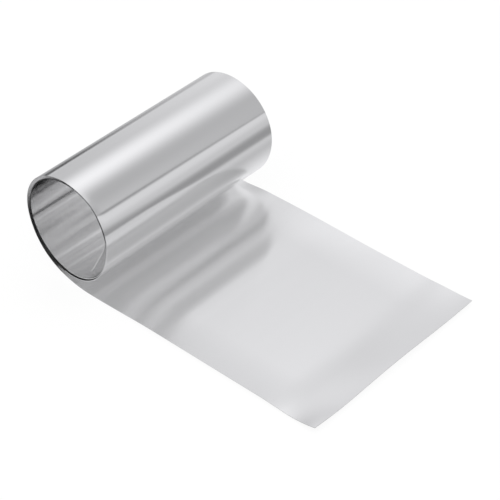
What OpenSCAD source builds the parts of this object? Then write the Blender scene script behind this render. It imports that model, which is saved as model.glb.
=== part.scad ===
// Loose roll of thin aluminium sheet, lying on its own unrolled tail.
// Frame: millimetres, +X along the tail, +Y along the axis of the coil, +Z up,
// origin under the middle of the piece, on the surface that it lies on.

/* [Sheet] */
// Width of the sheet, which is also the length of the coil
sheet_width = 200; // [50:5:500]
// Thickness of the sheet
sheet_thickness = 0.3; // [0.2:0.05:0.6]

/* [Coil] */
// Mean radius of the outer face of the outer turn
coil_radius = 47.9; // [35:0.1:80]
// Number of turns in the coil
coil_turns = 2.33; // [1.5:0.01:4.5]
// Air between two turns on the side where they lie tight
turn_gap = 0.3; // [0.2:0.05:1]
// How far the top and bottom stand out from a true circle, and the sides fall short
coil_oval = 1.4; // [0:0.1:2.5]
// Height of the three soft lobes round the coil
coil_lobe = 0.7; // [0:0.1:1.5]
// Direction of the first lobe from the axis, from the tail's side upward
lobe_angle = 31; // [0:1:119]

/* [Slack between the turns] */
// Extra air between the outer turn and the next, where it is widest
outer_slack = 3.1; // [0:0.1:5]
// Direction from the axis in which that air is widest
outer_slack_angle = 193; // [180:1:230]
// How far it reaches to each side of that direction
outer_slack_reach = 115; // [40:5:120]
// Extra air between each further pair of turns, where it is widest
inner_slack = 2.5; // [0:0.1:3]
// Direction from the axis in which that air is widest
inner_slack_angle = 260; // [180:1:270]
// How far it reaches to each side of that direction
inner_slack_reach = 75; // [40:5:120]

/* [Tail] */
// Distance from the axis of the coil to the free edge of the tail
tail_reach = 264.5; // [150:0.5:900]
// Air between the bottom of the coil and the tail below it
coil_lift = 7.4; // [2:0.1:15]
// Direction from the axis in which the sheet leaves the coil
leave_angle = 195; // [185:1:225]
// Distance from the axis of the coil to where the tail comes to lie flat
flat_start = 22; // [0:1:80]
// Length of the stretch at the free edge that curls up
curl_length = 46; // [10:1:60]
// How high the free edge stands above the flat
curl_rise = 3.6; // [0.5:0.1:6]

/* [Hidden] */

full_turn = 360;
// Angle between two points of the section, in the coil and on the bends of the tail
coil_step = 4;
bend_step = 3;
// How far the sheet keeps its direction where it leaves the coil and where it comes
// to lie flat, as shares of the straight way between the two
leave_pull = 0.47;
flat_pull = 0.3;
// Small angle over which the slope of the spiral is taken
slope_step = 0.05;

// A place on the sheet is [point on its outer face, direction towards its inner face]
function place(p, heading) = [p, [-heading.y, heading.x]];
function towards(a) = [cos(a), sin(a)];

// Outer face of a turn in the direction a, with no other turn wound outside it
function outline(a) = coil_radius - coil_oval * cos(2 * a) + coil_lobe * cos(3 * (a - lobe_angle));

// Share of a slack in the direction a: one where it is widest, none past its reach
function turned_off(a, widest) = abs((a - widest + 2.5 * full_turn) % full_turn - full_turn / 2);
function share(a, widest, reach) =
    turned_off(a, widest) > reach ? 0 : pow(cos(90 * turned_off(a, widest) / reach), 2);

// Slack in the direction a inside so many turns, counted on the side where it opens
function slack(a, turns) =
    min(turns, 1) * outer_slack * share(a, outer_slack_angle, outer_slack_reach)
    + max(turns - 1, 0) * inner_slack * share(a, inner_slack_angle, inner_slack_reach);

// Radius of the outer face after winding inward by the angle s, and the point there
function face_radius(s) =
    let (a = leave_angle - s, turns = s / full_turn)
    outline(a) - turns * (sheet_thickness + turn_gap) - slack(a, round(turns));
function coil_point(s) = face_radius(s) * towards(leave_angle - s);
function coil_heading(s) =
    let (d = coil_point(s - slope_step) - coil_point(s + slope_step))
    d / norm(d);

// The coil, from its inner end out to where the sheet leaves it
coil_angle = coil_turns * full_turn;
coil_steps = ceil(coil_angle / coil_step);
coil_places = [
    for (i = [0 : coil_steps])
        let (s = coil_angle * (1 - i / coil_steps))
        place(coil_point(s), coil_heading(s))
];

// The bend that carries the sheet from the coil down to the flat, a cubic curve that
// leaves along the coil and ends along the flat
flat_level = -outline(-90) - coil_lift;
leave_heading = coil_heading(0);
leave_slope = -atan2(leave_heading.y, leave_heading.x);
flat_heading = [1, 0];
bend_from = coil_point(0);
bend_to = [flat_start, flat_level];
bend_span = norm(bend_to - bend_from);
bend_away = bend_from + leave_pull * bend_span * leave_heading;
bend_down = bend_to - flat_pull * bend_span * flat_heading;
function bend_point(t) =
    pow(1 - t, 3) * bend_from + 3 * t * pow(1 - t, 2) * bend_away
    + 3 * pow(t, 2) * (1 - t) * bend_down + pow(t, 3) * bend_to;
function bend_heading(t) =
    let (d = pow(1 - t, 2) * (bend_away - bend_from) + 2 * t * (1 - t) * (bend_down - bend_away)
        + pow(t, 2) * (bend_to - bend_down))
    d / norm(d);
bend_steps = ceil(leave_slope / bend_step);
bend_places = [for (i = [1 : bend_steps]) place(bend_point(i / bend_steps), bend_heading(i / bend_steps))];

// The curl at the free edge
flat_end = tail_reach - curl_length;
curl_radius = (pow(curl_length, 2) + pow(curl_rise, 2)) / (2 * curl_rise);
curl_slope = asin(curl_length / curl_radius);
curl_steps = ceil(curl_slope / bend_step) + 1;
curl_places = [
    for (i = [0 : curl_steps])
        let (a = curl_slope * i / curl_steps)
        place([flat_end, flat_level + curl_radius] + curl_radius * [sin(a), -cos(a)], towards(a))
];

// The section of the whole sheet: along its outer face and back along its inner one
places = concat(coil_places, bend_places, curl_places);
outer_face = [for (w = places) w[0]];
inner_face = [for (w = places) w[0] + sheet_thickness * w[1]];
section = concat(outer_face, [for (i = [len(places) - 1 : -1 : 0]) inner_face[i]]);

// The middle of its length, which is the origin
left_side = min([for (p = outer_face) p.x]);
middle = (left_side + tail_reach) / 2;

module aluminium_sheet() {
    color("silver")
        translate([-middle, 0, -flat_level])
            rotate([90, 0, 0])
                linear_extrude(height = sheet_width, center = true)
                    polygon(section);
}

aluminium_sheet();
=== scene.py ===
import math

import bpy
import numpy as np
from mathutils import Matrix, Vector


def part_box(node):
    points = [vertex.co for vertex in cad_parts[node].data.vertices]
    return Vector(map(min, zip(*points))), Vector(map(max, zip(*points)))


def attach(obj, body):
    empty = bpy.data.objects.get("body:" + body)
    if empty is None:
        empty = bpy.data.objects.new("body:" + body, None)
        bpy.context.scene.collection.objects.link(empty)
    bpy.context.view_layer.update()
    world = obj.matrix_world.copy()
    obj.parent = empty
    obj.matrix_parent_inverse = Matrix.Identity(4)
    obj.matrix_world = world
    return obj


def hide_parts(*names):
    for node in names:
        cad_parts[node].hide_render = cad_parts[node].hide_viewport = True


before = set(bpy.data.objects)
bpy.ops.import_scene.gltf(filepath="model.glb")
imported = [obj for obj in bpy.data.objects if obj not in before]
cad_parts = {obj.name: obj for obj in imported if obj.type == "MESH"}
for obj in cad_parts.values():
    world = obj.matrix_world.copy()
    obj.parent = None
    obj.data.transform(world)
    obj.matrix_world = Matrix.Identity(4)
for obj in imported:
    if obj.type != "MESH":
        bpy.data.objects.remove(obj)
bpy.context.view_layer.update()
scene = bpy.context.scene


# The aluminium sheet: one strip, 200 mm wide and a metre or so long, rolled to 0.3 mm at the
# mill and slit to width. It was wound up by hand, so its turns lie loose in the coil, and its
# outer end runs out under the coil as a tail. Lengths are in millimetres, angles in degrees.

MM = 0.001
FULL_TURN = 360
lowest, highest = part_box("aluminium_sheet")
sheet_width = (highest.y - lowest.y) / MM
sheet_thickness = 0.3

coil_radius = 47.9
coil_turns = 2.33
turn_gap = 0.3
coil_oval = 1.4
coil_lobe = 0.7
lobe_angle = 31
outer_slack, outer_slack_angle, outer_slack_reach = 3.1, 193, 115
inner_slack, inner_slack_angle, inner_slack_reach = 2.5, 260, 75
coil_lift = 7.4
leave_angle = 195
flat_start = 22
tail_reach = 264.5


def smooth_step(low, high, x):
    """Nought below low, one above high, and three squares less two cubes of the share t between."""
    t = np.clip((x - low) / (high - low), 0, 1)
    return t * t * (3 - 2 * t)


def outline(angle):
    """Radius of the outer face: a mean radius, less an oval term, plus three soft lobes."""
    oval = coil_oval * np.cos(np.radians(2 * angle))
    return coil_radius - oval + coil_lobe * np.cos(np.radians(3 * (angle - lobe_angle)))


def turned_off(angle, middle):
    """Angle from a middle direction, from minus to plus half a turn."""
    return (angle - middle + 2.5 * FULL_TURN) % FULL_TURN - FULL_TURN / 2


def share(angle, widest, reach):
    """Share of a slack: the squared cosine of the angle from its widest place, nought past its reach."""
    off = np.abs(turned_off(angle, widest))
    return np.where(off > reach, 0, np.cos(np.radians(90 * off / reach)) ** 2)


def face_radius(wound):
    """Radius after winding inward by so many degrees: the outline, less the tight turns and the slacks."""
    angle, turns = leave_angle - wound, wound / FULL_TURN
    opened = np.round(turns)
    slack = np.minimum(opened, 1) * outer_slack * share(angle, outer_slack_angle, outer_slack_reach)
    slack += np.maximum(opened - 1, 0) * inner_slack * share(angle, inner_slack_angle, inner_slack_reach)
    return outline(angle) - turns * (sheet_thickness + turn_gap) - slack


def coil_point(wound):
    """Place on the outer face, in the plane across the axis: the radius in the wound direction."""
    angle = np.radians(leave_angle - wound)
    return face_radius(wound)[:, None] * np.stack([np.cos(angle), np.sin(angle)], axis=-1)


def coil_heading(wound):
    """Direction of the outer face towards the tail: from one place to another a tenth of a degree on."""
    ahead, back = coil_point(wound + np.array([-0.05, 0.05]))
    return (ahead - back) / np.linalg.norm(ahead - back)


# The coil's section on its outer face, from the inside out. The inner end of the sheet runs on a
# little past the wound turns, springs off the turn around it at the fold, and stands straight in
# the bore as a flap.
COIL_STEP = 2.5
FLAP_POINTS = 30
coil_angle = coil_turns * FULL_TURN
fold_angle = 901
flap_end_radius, flap_end_angle = 39.9, -48
fold_pull, flap_pull = 6, 30


def wound_between(start, end):
    """Wound angles from start down to end, in even steps of about COIL_STEP."""
    return np.linspace(start, end, math.ceil((start - end) / COIL_STEP) + 1)


def cubic_curve(t, start, start_pull, end_pull, end):
    """Cubic curve: its four points weighted by the cube of 1 - t, then three times t and the square of
    1 - t, then three times the square of t and 1 - t, and last the cube of t."""
    near_start = (1 - t) ** 3 * start + 3 * t * (1 - t) ** 2 * start_pull
    return near_start + 3 * t**2 * (1 - t) * end_pull + t**3 * end


run_on = wound_between(fold_angle, coil_angle)[:-1]
wound = np.concatenate([run_on, wound_between(coil_angle, 0)])
turns_line = coil_point(wound)

fold = turns_line[0]
flap_end_direction = math.radians(flap_end_angle)
flap_end = flap_end_radius * np.array([math.cos(flap_end_direction), math.sin(flap_end_direction)])
fold_away = fold - fold_pull * coil_heading(fold_angle)
flap_heading = (flap_end - fold_away) / np.linalg.norm(flap_end - fold_away)
t = np.linspace(1, 0, FLAP_POINTS + 1)[:-1, None]
flap_line = cubic_curve(t, fold, fold_away, flap_end - flap_pull * flap_heading, flap_end)
coil_line = np.concatenate([flap_line, turns_line])

# The tail's section: a bend that leaves along the coil and ends along the flat, then the flat
# out to the free edge
BEND_POINTS, FLAT_POINTS, END_POINTS = 44, 46, 26
END_LENGTH = 56
leave_pull, flat_pull = 0.47, 0.3
flat_level = -float(outline(-90)) - coil_lift

bend_from, bend_to = coil_line[-1], np.array([flat_start, flat_level])
bend_span = np.linalg.norm(bend_to - bend_from)
bend_away = bend_from + leave_pull * bend_span * coil_heading(0)
bend_down = bend_to - flat_pull * bend_span * np.array([1, 0])
t = np.linspace(0, 1, BEND_POINTS + 1)[1:, None]
bend_line = cubic_curve(t, bend_from, bend_away, bend_down, bend_to)

end_start = tail_reach - END_LENGTH
flat_x = np.linspace(flat_start, end_start, FLAT_POINTS + 1)[1:]
end_x = np.linspace(end_start, tail_reach, END_POINTS + 1)[1:]
tail_x = np.concatenate([flat_x, end_x])
tail_line = np.stack([tail_x, np.full_like(tail_x, flat_level)], axis=-1)
section = np.concatenate([coil_line, bend_line, tail_line])


# How the real sheet departs from a straight section. Both slit edges of the tail stand up a
# little, the flat swells beside the coil, and the free edge is kinked up and waves. The near
# end of the coil is bent out a little on the right, and its inner turns are drawn in at the top.
EDGE_BAND = 38
near_edge_lift, near_edge_rises, near_edge_falls = 2.0, (25, 95), (205, 262)
far_edge_lift, far_edge_rises, far_edge_falls = 1.5, (10, 45), (225, 262)
far_edge_near_coil, near_coil_fades = 1.0, (100, 170)
kink_start, kink_end, kink_slope = 212, 232, 4.5
near_corner_start, near_corner_rise = 232, 4.6
swell, swell_middle, swell_reach = 0.3, 80, 40
end_wave, end_wave_length, end_wave_start = 0.8, 140, 222
flare, flare_angle, flare_spread, flare_depth = 0.95, 51, 14, 3
drawn_in, drawn_in_angle, drawn_in_spread, drawn_in_depth = 1.1, 115, 36, 12
inner_turns_begin = (330, 400)


def edge_band(distance):
    """Weight of a strip along an edge: one at the edge, falling as a square to nought at its far side."""
    return np.clip(1 - distance / EDGE_BAND, 0, 1) ** 2


def soft_peak(x, centre, reach):
    """Weight round a centre: the squared cosine, one at the centre and nought past its reach."""
    return np.cos(np.radians(90 * np.clip(np.abs(x - centre) / reach, 0, 1))) ** 2


def tail_lift(x, y):
    """Height of the tail above the flat: the raised edges, corner, kink, wave and swell added up."""
    near = edge_band(y + sheet_width / 2)
    far = edge_band(sheet_width / 2 - y)
    near_lift = near_edge_lift * smooth_step(*near_edge_rises, x) * (1 - smooth_step(*near_edge_falls, x))
    far_lift = far_edge_lift + far_edge_near_coil * (1 - smooth_step(*near_coil_fades, x))
    far_lift *= smooth_step(*far_edge_rises, x) * (1 - smooth_step(*far_edge_falls, x))
    slope = math.tan(math.radians(kink_slope))
    bent = np.clip(x, kink_start, kink_end) - kink_start
    kink = slope * (bent**2 / 2 / (kink_end - kink_start) + np.maximum(x - kink_end, 0))
    past_corner = np.maximum(x - near_corner_start, 0) / (tail_reach - near_corner_start)
    corner = near_corner_rise * past_corner**2
    wave = end_wave * np.cos(2 * np.pi * y / end_wave_length) * smooth_step(end_wave_start, tail_reach, x)
    soft_swell = swell * soft_peak(x, swell_middle, swell_reach)
    return near * (near_lift + corner) + far * far_lift + (1 - near) * (kink + wave + soft_swell)


def mouth_bell(angle, y, middle, spread, depth):
    """Weight round a place on the coil's near rim: a bell in the angle that fades along the axis."""
    off = turned_off(angle, middle)
    return np.exp(-((off / spread) ** 2) - (y + sheet_width / 2) / depth)


# The surface is the section carried across the width on a grid, then a second time one
# thickness further in, with the four edges closed between the two.
EDGE_STEP, MIDDLE_STEP = 1.6, 3.2
SHARP_ANGLE = 50
half = sheet_width / 2
margin = np.arange(0, EDGE_BAND, EDGE_STEP)
middle_y = np.linspace(-half + EDGE_BAND, half - EDGE_BAND, round(2 * (half - EDGE_BAND) / MIDDLE_STEP) + 1)
across = np.concatenate([margin - half, middle_y, (half - margin)[::-1]])

line_x, line_y = np.broadcast_arrays(section[:, :1], across)
outer = np.stack([line_x, line_y, np.broadcast_to(section[:, 1:], line_x.shape)], axis=-1)
direction = np.degrees(np.arctan2(outer[..., 2], outer[..., 0]))
radial = np.stack([np.cos(np.radians(direction)), 0 * direction, np.sin(np.radians(direction))], axis=-1)

in_coil = (np.arange(len(section)) < len(coil_line))[:, None]
wound_there = np.zeros(len(section))
wound_there[:len(flap_line)] = fold_angle
wound_there[len(flap_line):len(coil_line)] = wound
in_inner_turns = smooth_step(*inner_turns_begin, wound_there)[:, None]
outward = flare * in_coil * mouth_bell(direction, line_y, flare_angle, flare_spread, flare_depth)
outward -= drawn_in * in_inner_turns * mouth_bell(
    direction, line_y, drawn_in_angle, drawn_in_spread, drawn_in_depth
)
outer = outer + radial * outward[..., None]
outer[..., 2] += np.where(in_coil, 0, tail_lift(line_x, line_y))

along_step = np.gradient(outer, axis=0)
across_step = np.gradient(outer, across, axis=1)
inward = np.cross(across_step, along_step)
inward /= -np.linalg.norm(inward, axis=-1, keepdims=True)
inner = outer + sheet_thickness * inward

# The axis of the coil goes to its place in the part, and nothing stands out of the part's box
axis_place = np.array([highest.x / MM - tail_reach, 0, -flat_level])
points = np.concatenate([outer.reshape(-1, 3), inner.reshape(-1, 3)]) + axis_place
points = np.clip(points, np.array(lowest) / MM, np.array(highest) / MM)
rows, columns = line_x.shape
grid = np.arange(rows * columns).reshape(rows, columns)
under = grid + rows * columns


def quads(a, b):
    """Quads between two lines of vertex numbers, each with its next on both lines."""
    return np.stack([a[:-1], a[1:], b[1:], b[:-1]], axis=-1).reshape(-1, 4)


def panel(numbers):
    """Quads of a whole grid of vertex numbers: each vertex with its three next ones."""
    before, after = numbers[:-1], numbers[1:]
    return np.stack([before[:, :-1], after[:, :-1], after[:, 1:], before[:, 1:]], axis=-1).reshape(-1, 4)


faces = np.concatenate([
    panel(grid)[:, ::-1], panel(under),
    quads(grid[:, 0], under[:, 0]), quads(under[:, -1], grid[:, -1]),
    quads(under[0], grid[0]), quads(grid[-1], under[-1]),
])
sheet_mesh = bpy.data.meshes.new("wound_sheet")
sheet_mesh.from_pydata((points * MM).tolist(), [], faces.tolist())
sheet = bpy.data.objects.new("wound_sheet", sheet_mesh)
scene.collection.objects.link(sheet)

# The sheet's own map, in metres: first across the width, then along the rolled length, counted
# from where the coil's turns are all wound
length = np.concatenate([[0], np.cumsum(np.linalg.norm(np.diff(section, axis=0), axis=1))])
length -= length[len(flap_line) + len(run_on)]
map_point = np.stack(np.broadcast_arrays(across, length[:, None]), axis=-1).reshape(-1, 2) * MM
map_point = np.concatenate([map_point, map_point])
loop_vertex = np.empty(len(sheet_mesh.loops), int)
sheet_mesh.loops.foreach_get("vertex_index", loop_vertex)
rolled_length = sheet_mesh.uv_layers.new(name="rolled_length")
rolled_length.data.foreach_set("uv", map_point[loop_vertex].astype(np.float32).ravel())
sheet_mesh.shade_smooth()
sheet_mesh.set_sharp_from_angle(angle=math.radians(SHARP_ANGLE))

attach(sheet, "root")
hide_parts("aluminium_sheet")


# Mill-finish aluminium: bright bare metal with fine rolling lines along the sheet, which
# spread a reflection across the width and leave it sharp along the length. The tail is a little
# rougher than the rest. The outer turns and the tail have a lighter base colour than the inner
# turns: painted light, which brightens the reflections passed between the coil and the tail.
mill_aluminium = bpy.data.materials.new("mill_aluminium")
mill_aluminium.use_nodes = True
nodes, links = mill_aluminium.node_tree.nodes, mill_aluminium.node_tree.links
metal = nodes["Principled BSDF"]
metal.inputs["Metallic"].default_value = 1
metal.inputs["Anisotropic"].default_value = 0.91
tangent = nodes.new("ShaderNodeTangent")
tangent.direction_type = "UV_MAP"
tangent.uv_map = "rolled_length"
links.new(tangent.outputs["Tangent"], metal.inputs["Tangent"])
sheet_map = nodes.new("ShaderNodeUVMap")
sheet_map.uv_map = "rolled_length"
along_roll = nodes.new("ShaderNodeSeparateXYZ")
links.new(sheet_map.outputs["UV"], along_roll.inputs[0])

tail_start = length[len(coil_line)] * MM
# The base colour's step along the rolled length is painted light: darker on the inner turns, lighter on the
# outer turns and the tail
for socket, before, past, start, end in (
    ("Base Color", 0.925, 0.965, 0.28, 0.34),
    ("Roughness", 0.138, 0.165, tail_start, tail_start + 0.12),
):
    changing = nodes.new("ShaderNodeMapRange")
    changing.interpolation_type = "SMOOTHSTEP"
    changing.inputs["From Min"].default_value = start
    changing.inputs["From Max"].default_value = end
    changing.inputs["To Min"].default_value = before
    changing.inputs["To Max"].default_value = past
    links.new(along_roll.outputs["Y"], changing.inputs["Value"])
    links.new(changing.outputs[0], metal.inputs[socket])


def uneven(across_size, along_size, height):
    """Height of a noise, in metres, from its two sizes on the sheet and its height in millimetres."""
    stretch = nodes.new("ShaderNodeVectorMath")
    stretch.operation = "MULTIPLY"
    stretch.inputs[1].default_value = (1 / (across_size * MM), 1 / (along_size * MM), 1)
    links.new(sheet_map.outputs["UV"], stretch.inputs[0])
    noise = nodes.new("ShaderNodeTexNoise")
    noise.inputs["Scale"].default_value = 1
    noise.inputs["Detail"].default_value = 1
    links.new(stretch.outputs[0], noise.inputs["Vector"])
    scaled = nodes.new("ShaderNodeMath")
    scaled.operation = "MULTIPLY"
    scaled.inputs[1].default_value = height * MM
    links.new(noise.outputs["Fac"], scaled.inputs[0])
    return scaled.outputs[0]


# A fine grain and two soft wavinesses, of which one runs right across the sheet, break the
# reflections up
relief = uneven(1.3, 1.8, 0.009)
for more in (uneven(260, 16, 0.06), uneven(150, 45, 0.12)):
    added = nodes.new("ShaderNodeMath")
    added.operation = "ADD"
    links.new(relief, added.inputs[0])
    links.new(more, added.inputs[1])
    relief = added.outputs[0]
bump = nodes.new("ShaderNodeBump")
bump.inputs["Distance"].default_value = 1
links.new(relief, bump.inputs["Height"])
links.new(bump.outputs["Normal"], metal.inputs["Normal"])
sheet_mesh.materials.append(mill_aluminium)


# The floor: a plain white table top that goes on past the picture, lit evenly. The camera and
# the metal see it as white, and it keeps a part of the object's shadow.
floor_half, floor_drop = 6, 0.0004
white_strength, white_weight = 1.02, 0.88
floor_corners = floor_half * np.array([(-1, -1), (1, -1), (1, 1), (-1, 1)])
floor_mesh = bpy.data.meshes.new("floor")
floor_mesh.from_pydata([(x, y, -floor_drop) for x, y in floor_corners.tolist()], [], [(0, 1, 2, 3)])
floor = bpy.data.objects.new("floor", floor_mesh)
scene.collection.objects.link(floor)

white_table = bpy.data.materials.new("white_table")
white_table.use_nodes = True
nodes, links = white_table.node_tree.nodes, white_table.node_tree.links
paint = nodes["Principled BSDF"]
paint.inputs["Base Color"].default_value = (0.97, 0.97, 0.97, 1)
paint.inputs["Roughness"].default_value = 0.9
paint.inputs["Specular IOR Level"].default_value = 0
white = nodes.new("ShaderNodeEmission")
white.inputs["Strength"].default_value = white_strength
seen = nodes.new("ShaderNodeLightPath")
camera_or_glossy = nodes.new("ShaderNodeMath")
camera_or_glossy.operation = "ADD"
links.new(seen.outputs["Is Camera Ray"], camera_or_glossy.inputs[0])
links.new(seen.outputs["Is Glossy Ray"], camera_or_glossy.inputs[1])
or_transmission = nodes.new("ShaderNodeMath")
or_transmission.operation = "ADD"
links.new(camera_or_glossy.outputs[0], or_transmission.inputs[0])
links.new(seen.outputs["Is Transmission Ray"], or_transmission.inputs[1])
white_share = nodes.new("ShaderNodeMath")
white_share.operation = "MULTIPLY"
white_share.inputs[1].default_value = white_weight
links.new(or_transmission.outputs[0], white_share.inputs[0])
table_mix = nodes.new("ShaderNodeMixShader")
links.new(white_share.outputs[0], table_mix.inputs["Fac"])
links.new(paint.outputs[0], table_mix.inputs[1])
links.new(white.outputs[0], table_mix.inputs[2])
links.new(table_mix.outputs[0], nodes["Material Output"].inputs["Surface"])
floor_mesh.materials.append(white_table)

plain_world = bpy.data.worlds.new("plain_white")
plain_world.use_nodes = True
plain_world.node_tree.nodes["Background"].inputs["Color"].default_value = (1, 1, 1, 1)
plain_world.node_tree.nodes["Background"].inputs["Strength"].default_value = 1
scene.world = plain_world


# The light tent: what only the metal sees. Its walls, its card and its table cloth are shells
# that give light, each with its brightness worked out at every vertex and kept in an attribute.
# Lengths are in metres from here on.
given_light = bpy.data.materials.new("given_light")
given_light.use_nodes = True
nodes, links = given_light.node_tree.nodes, given_light.node_tree.links
nodes.remove(nodes["Principled BSDF"])
brightness = nodes.new("ShaderNodeAttribute")
brightness.attribute_name = "brightness"
glow = nodes.new("ShaderNodeEmission")
glow.inputs["Color"].default_value = (0.935, 0.935, 0.955, 1)
links.new(brightness.outputs["Fac"], glow.inputs["Strength"])
links.new(glow.outputs[0], nodes["Material Output"].inputs["Surface"])
given_light.cycles.emission_sampling = "NONE"
axis_x = axis_place[0] * MM


def light_shell(name, place, level):
    """A shell on a grid of places that gives light of the given level at each."""
    mesh = bpy.data.meshes.new(name)
    numbers = np.arange(level.size).reshape(level.shape)
    mesh.from_pydata(place.reshape(-1, 3).tolist(), [], panel(numbers).tolist())
    levels = mesh.attributes.new("brightness", "FLOAT", "POINT")
    levels.data.foreach_set("value", level.astype(np.float32).ravel())
    mesh.materials.append(given_light)
    shell = bpy.data.objects.new(name, mesh)
    scene.collection.objects.link(shell)
    shell.visible_camera = shell.visible_diffuse = shell.visible_shadow = False


def mixed(near, far, share_far):
    """Straight mix of two values."""
    return near + (far - near) * share_far


# The walls stand all round and overhead. A direction is the turn round the coil's axis, from
# the tail's side upward, and the lean towards the back. The light overhead is stronger in front,
# the left side is paler behind, and the front end of the tent is dim.
TENT_RADIUS = 8
TURN_STEP, LEAN_STEP = 0.5, 1.5
near_plain, far_plain = 0.47, 0.50
near_light, near_light_turn, near_light_reach = 0.54, 109, 37
far_light, far_light_turn, far_light_reach = 0.32, 104, 39
near_left, near_left_turns = 0.09, (67, 150)
far_left, far_left_turns = 0.31, (90, 175)
low_right, low_right_turns = 0.11, (36, 62)
low_left, low_left_turns = 0.07, (168, 178)
back_start, back_depth, back_most = 0.52, 0.10, 1.5
front_dimming, front_ends = 0.16, (0.30, 0.50)

turns_round, leans = np.arange(-2, 182.1, TURN_STEP), np.arange(-90, 90.1, LEAN_STEP)
turn, lean = np.meshgrid(turns_round, np.radians(leans), indexing="ij")
round_axis = np.radians(turn)
wall_place = TENT_RADIUS * np.stack(
    [np.cos(lean) * np.cos(round_axis), np.sin(lean), np.cos(lean) * np.sin(round_axis)], axis=-1
)
near_wall = near_plain + near_left * smooth_step(*near_left_turns, turn)
near_wall += near_light * soft_peak(turn, near_light_turn, near_light_reach)
near_wall += low_right * (1 - smooth_step(*low_right_turns, turn))
near_wall += low_left * smooth_step(*low_left_turns, turn)
far_wall = far_plain + far_left * smooth_step(*far_left_turns, turn)
far_wall += far_light * soft_peak(turn, far_light_turn, far_light_reach)
behind = np.clip((np.sin(lean) - back_start) / back_depth, 0, back_most)
in_front = 1 - smooth_step(*front_ends, np.sin(lean))
wall_level = mixed(near_wall, far_wall, behind) * (1 - front_dimming * in_front)
light_shell("tent_walls", wall_place, wall_level)

# A tall white card stands beyond the tail's free edge. Its glow is painted light: brighter
# higher up as if lit from above, with painted shade at its foot, and a soft dark band painted
# along its slanted top edge. Its widths, heights and levels given as pairs are for its front and its back.
card_distance = 0.52
card_front, card_back = -0.9, 2.1
top_height, top_fall, least_top, most_top = 0.424, 0.245, 0.25, 0.50
top_edge_width, top_edge_level = (0.040, 0.022), (0.26, 0.39)
above_level = (0.61, 0.56)
foot_level, foot_height = (0.33, 0.49), (0.12, 0.055)
foot_change_start, foot_change_end = 0.19, 0.29
card_back_start, card_back_depth = 0.25, 0.25
lit_level, upper_light = 0.60, 0.12
upper_light_start, upper_light_end = 0.08, 0.22
CARD_COLUMNS, CARD_ROWS = 61, 81

card_columns, card_rows = np.linspace(card_front, card_back, CARD_COLUMNS), np.linspace(0, 1, CARD_ROWS)
along, rise = np.meshgrid(card_columns, card_rows, indexing="ij")
card_behind = np.clip((along - card_back_start) / card_back_depth, 0, 1)
foot_behind = smooth_step(foot_change_start, foot_change_end, along)
card_top = np.clip(top_height - top_fall * along, least_top, most_top)
edge_width = mixed(*top_edge_width, card_behind)
height = rise * (card_top + 2 * edge_width)
out_of_foot = smooth_step(0, 1, height / mixed(*foot_height, foot_behind))
# The card's level is painted light and shade: dim at the foot, brighter above it, dark along the top edge
card_level = mixed(mixed(*foot_level, foot_behind), lit_level, out_of_foot)
card_level += upper_light * smooth_step(upper_light_start, upper_light_end, height)
card_level = np.where(height < card_top, card_level, mixed(*above_level, card_behind))
on_top_edge = np.exp(-(((height - card_top) / edge_width) ** 2))
card_level = mixed(card_level, mixed(*top_edge_level, card_behind), on_top_edge)
card_place = np.stack([np.full_like(along, card_distance + axis_x), along, height], axis=-1)
light_shell("white_card", card_place, card_level)

# The table cloth carries a painted pool of light round the coil. On the left it grows dark with the
# distance and towards the front, where a painted shadow of the coil lies, and the line between
# the two runs away behind the coil; on the right only the strip beside the tail is bright.
CLOTH_MIDDLE, CLOTH_RADIUS, CLOTH_LEVEL = 0.001, 7.9, -0.0002
RING_COUNT, BEARING_STEP = 101, 2.5
left_dark, left_light, left_fade = 0.05, 0.48, 0.40
line_front, line_slant, line_width, line_widening = 0.06, 0.625, 0.155, 0.14
past_line_light, past_line_far, past_line_rises, past_line_power = 0.12, 0.44, (0, 0.95), 0.6
right_plain = 0.325
near_coil, near_coil_edge = 0.38, (0.015, 0.095)
by_tail, by_tail_edge, by_tail_slant, by_tail_middle = 0.21, (0.152, 0.188), 0.2, 0.15
stripe_light, stripe_middle, stripe_half = 0.11, 0.135, 0.04
far_right, far_right_rises, far_right_front, far_right_back = 0.08, (0.27, 0.45), 0.3, (0.15, 0.25)
sides_meet = (-0.05, 0.01)

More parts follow.
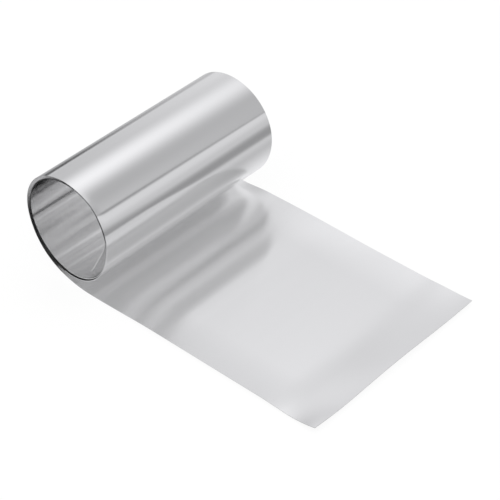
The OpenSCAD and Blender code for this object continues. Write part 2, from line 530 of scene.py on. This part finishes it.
rings = CLOTH_MIDDLE * (CLOTH_RADIUS / CLOTH_MIDDLE) ** np.linspace(0, 1, RING_COUNT)
ring, bearing = np.meshgrid(rings, np.radians(np.arange(0, 361, BEARING_STEP)), indexing="ij")
cloth_x, cloth_y = ring * np.cos(bearing), ring * np.sin(bearing)
away = np.maximum(-cloth_x, 0)
# past_line: the share out of the coil's painted shadow, from its front edge back to the lit cloth
past_line = np.clip((cloth_y + line_front - line_slant * away) / (line_width + line_widening * away), 0, 1)
left_level = left_dark + left_light / (1 + (away / left_fade) ** 4)
past_line_level = past_line_light + past_line_far * smooth_step(*past_line_rises, away)
left_level += past_line_level * past_line**past_line_power
beside_tail = 1 - smooth_step(*by_tail_edge, cloth_x + by_tail_slant * (cloth_y - by_tail_middle))
stripe = np.clip(1 - np.abs(cloth_x - stripe_middle) / stripe_half, 0, 1)
right_level = right_plain + by_tail * beside_tail + stripe_light * stripe
right_level += near_coil * (1 - smooth_step(*near_coil_edge, cloth_x))
towards_back = mixed(far_right_front, 1, smooth_step(*far_right_back, cloth_y))
right_level += far_right * smooth_step(*far_right_rises, cloth_x) * towards_back
cloth_level = mixed(left_level, right_level, smooth_step(*sides_meet, cloth_x))
cloth_place = np.stack([cloth_x + axis_x, cloth_y, np.full_like(cloth_x, CLOTH_LEVEL)], axis=-1)
light_shell("table_cloth", cloth_place, cloth_level)

# A dark card lies on the cloth in front of the coil's near end as a painted shadow of the coil,
# and draws the edges of its turns dark
shadow_card_left, shadow_card_right, shadow_card_front, shadow_card_back = -0.160, -0.015, -0.180, -0.104
SHADOW_CARD_LEVEL, shadow_card_brightness = -0.0001, 0.03
shadow_card_x, shadow_card_y = np.meshgrid([shadow_card_left, shadow_card_right], [shadow_card_front, shadow_card_back], indexing="ij")
shadow_card_place = np.stack([shadow_card_x + axis_x, shadow_card_y, np.full_like(shadow_card_x, SHADOW_CARD_LEVEL)], axis=-1)
light_shell("painted_shadow_card", shadow_card_place, np.full_like(shadow_card_x, shadow_card_brightness))


# The camera looks down on the set from the front right, as in the photograph, with a long lens.
# Its place is measured in millimetres from the middle of the coil's axis.
camera_azimuth, camera_elevation = 41.63, 39.16
camera_from_axis = np.array([898.07, -886.80, 942.83])
picture_width, focal_pixels = 500, 1864.9
sensor_width = 36
camera = bpy.data.objects.new("camera", bpy.data.cameras.new("camera"))
scene.collection.objects.link(camera)
scene.camera = camera
camera.location = (camera_from_axis + axis_place) * MM
camera.rotation_euler = (math.radians(90 - camera_elevation), 0, math.radians(camera_azimuth))
camera.data.sensor_width = sensor_width
camera.data.lens = sensor_width * focal_pixels / picture_width
camera.data.clip_end = 50

scene.view_settings.view_transform = "Standard"
scene.cycles.max_bounces = 24
scene.cycles.glossy_bounces = 16
